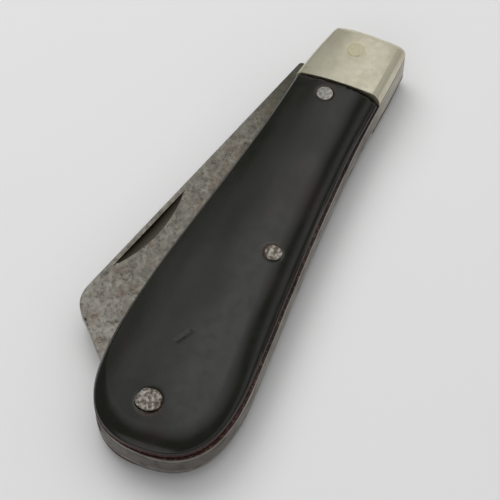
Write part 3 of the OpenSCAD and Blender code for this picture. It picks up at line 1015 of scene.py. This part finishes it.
def build_layers():
    """The liners and the back spring."""
    liner_metal = layer_finish("liner_steel_aged", (0.36, 0.335, 0.30), (0.24, 0.22, 0.19), 1, 0.42)
    spring_metal = layer_finish("spring_steel_aged", (0.25, 0.23, 0.205), (0.16, 0.145, 0.125), 7, 0.45)
    pin_holes = [circle(BUTT_PIN, BUTT_SHANK_R, 32), circle(SPRING_PIN, SPRING_SHANK_R, 32)]
    liner_holes = pin_holes + [circle(PIVOT, PIVOT_R, 40)]
    for side in ("front", "back"):
        node = "liner_" + side
        low, high = layer(node)
        plate = slab("liner_plate_" + side, handle_outline(0.4), liner_holes,
                     flat(high), flat(low), radius=0.16)
        install(plate, node, liner_metal)
    low, high = layer("back_spring")
    spring = slab("spring_bar", spring_outline(), pin_holes, flat(high), flat(low), radius=0.22)
    install(spring, "back_spring", spring_metal)


def build_pins():
    """The pivot pin, the pins with peened heads and the blind rivets."""
    dirty = pin_finish("pin_steel", (0.19, 0.15, 0.12), (0.58, 0.55, 0.50))
    clean = pin_finish("pin_steel_clean", (0.36, 0.34, 0.31), (0.60, 0.585, 0.55))
    top = TOTAL_THICK
    spring_low, spring_high = layer("back_spring")
    pieces = (
        ("pivot_pin", "pivot_barrel", PIVOT, PIVOT_R, (0, 0), 0, top, 0.0, 1.0, pivot_finish()),
        ("spring_pin", "spring_pin_peened", SPRING_PIN, SPRING_SHANK_R, (SMALL_HEAD_R, SMALL_HEAD_R), 0, top,
         0.16, 3.0, dirty),
        ("butt_pin", "butt_pin_peened", BUTT_PIN, BUTT_SHANK_R, (BUTT_HEAD_R, BUTT_HEAD_R), 0, top,
         0.30, 8.0, dirty),
        ("scale_pin_front", "cover_pin_front", COVER_PIN, COVER_SHANK_R, (0, SMALL_HEAD_R), spring_high, top,
         0.12, 5.0, clean),
        ("scale_pin_back", "cover_pin_back", COVER_PIN, COVER_SHANK_R, (SMALL_HEAD_R, 0), 0, spring_low,
         0.12, 6.0, clean),
    )
    for node, name, at, shank_r, heads, z_low, z_high, lumps, seed, metal in pieces:
        piece = pin(name, at, shank_r, heads, z_low, z_high, lumps, seed)
        install(piece, node, metal)
    for side in ("front", "back"):
        node = "bolster_rivets_" + side
        install(rivets("blind_rivets_" + side, *layer(node)), node, dirty)


# ---- studio

CAMERA_AZIMUTH = -67.0
CAMERA_ELEVATION = 58.0
CAMERA_DISTANCE = 0.300
CAMERA_LENS = 120.96
SENSOR_WIDTH = 36
CAMERA_AIM = Vector((0.0, -0.00415, 0.0))
KEY_WATTS = 1.42
FILL_WATTS = 5.6
ROOM_GLOW = 0.175
WINDOW_GLOW = 0.78        # a broad window overhead, on the far side
PANE_GLOW = 0.45          # its brighter middle
WALL_GLOW = 0.46          # a pale wall low behind the camera
LEFT_GLOW = 0.62          # a pale screen at the butt's end
FAR_GLOW = 0.4            # and one beyond the knife


def direction(azimuth, elevation):
    """Unit vector to a place round the object; azimuth 0 is -Y and 90 is +X."""
    a = math.radians(azimuth)
    e = math.radians(elevation)
    return Vector((math.sin(a) * math.cos(e), -math.cos(a) * math.cos(e), math.sin(e)))


def look(thing, at, back):
    """Puts a camera or a lamp at the far end of the vector back, turned to look at a place."""
    thing.location = at + back
    thing.rotation_euler = back.to_track_quat("Z", "Y").to_euler()


def softbox(name, azimuth, elevation, distance, size, watts):
    """A round soft lamp that points at the knife."""
    lamp = bpy.data.lights.new(name, "AREA")
    lamp.shape = "DISK"
    lamp.size = size
    lamp.energy = watts
    holder = add_object(name, lamp)
    holder.visible_glossy = False      # its mirror image would lie on the horn
    look(holder, Vector(), direction(azimuth, elevation) * distance)


def build_camera():
    camera = add_object("camera", bpy.data.cameras.new("camera"))
    camera.data.lens = CAMERA_LENS
    camera.data.sensor_width = SENSOR_WIDTH
    camera.data.clip_start = 0.01
    look(camera, CAMERA_AIM, direction(CAMERA_AZIMUTH, CAMERA_ELEVATION) * CAMERA_DISTANCE)
    bpy.context.scene.camera = camera


def build_floor():
    bm = bmesh.new()
    bmesh.ops.create_grid(bm, x_segments=8, y_segments=8, size=1.5)
    mesh = bpy.data.meshes.new("floor")
    bm.to_mesh(mesh)
    bm.free()
    floor = add_object("floor", mesh)
    floor.data.materials.append(floor_finish())


def build_world():
    """A dim room with the window, the wall and the screens that the horn and the metal reflect."""
    world = bpy.data.worlds.new("studio")
    world.use_nodes = True
    nodes = Nodes(world.node_tree)
    outwards = nodes.tree.nodes.new("ShaderNodeTexCoord").outputs["Generated"]

    def towards(vector):
        """Cosine of the angle between a ray and a vector."""
        return nodes.vector("DOT_PRODUCT", outwards, vector)

    by_window = towards(direction(100, 66))
    window = nodes.spread(by_window, 0.87, 1.0, 0.0, WINDOW_GLOW)
    pane = nodes.spread(by_window, 0.975, 1.0, 0.0, PANE_GLOW)
    height = towards((0, 0, 1))
    wall = nodes.times(nodes.spread(height, 0.27, 0.44), nodes.fade(height, 0.56, 0.72))
    wall = nodes.times(wall, nodes.spread(towards(direction(-20, 0)), -0.2, 0.5, 0.0, WALL_GLOW))
    left = nodes.spread(towards(direction(-100, 41)), 0.89, 0.94, 0.0, LEFT_GLOW)
    far = nodes.spread(towards(direction(90, 5)), 0.7, 0.95, 0.0, FAR_GLOW)
    background = world.node_tree.nodes["Background"]
    background.inputs["Color"].default_value = (1, 1, 1, 1)
    nodes.put(background.inputs["Strength"], nodes.plus(window, pane, ROOM_GLOW, wall, left, far))
    bpy.context.scene.world = world


build_covers()
build_layers()
build_pins()
install(blade(), "blade", blade_finish(), body="blade")

build_camera()
build_floor()
softbox("key", azimuth=145, elevation=55, distance=0.7, size=0.48, watts=KEY_WATTS)
softbox("fill", azimuth=110, elevation=75, distance=1.0, size=2.0, watts=FILL_WATTS)
build_world()
bpy.context.scene.view_settings.view_transform = "Standard"
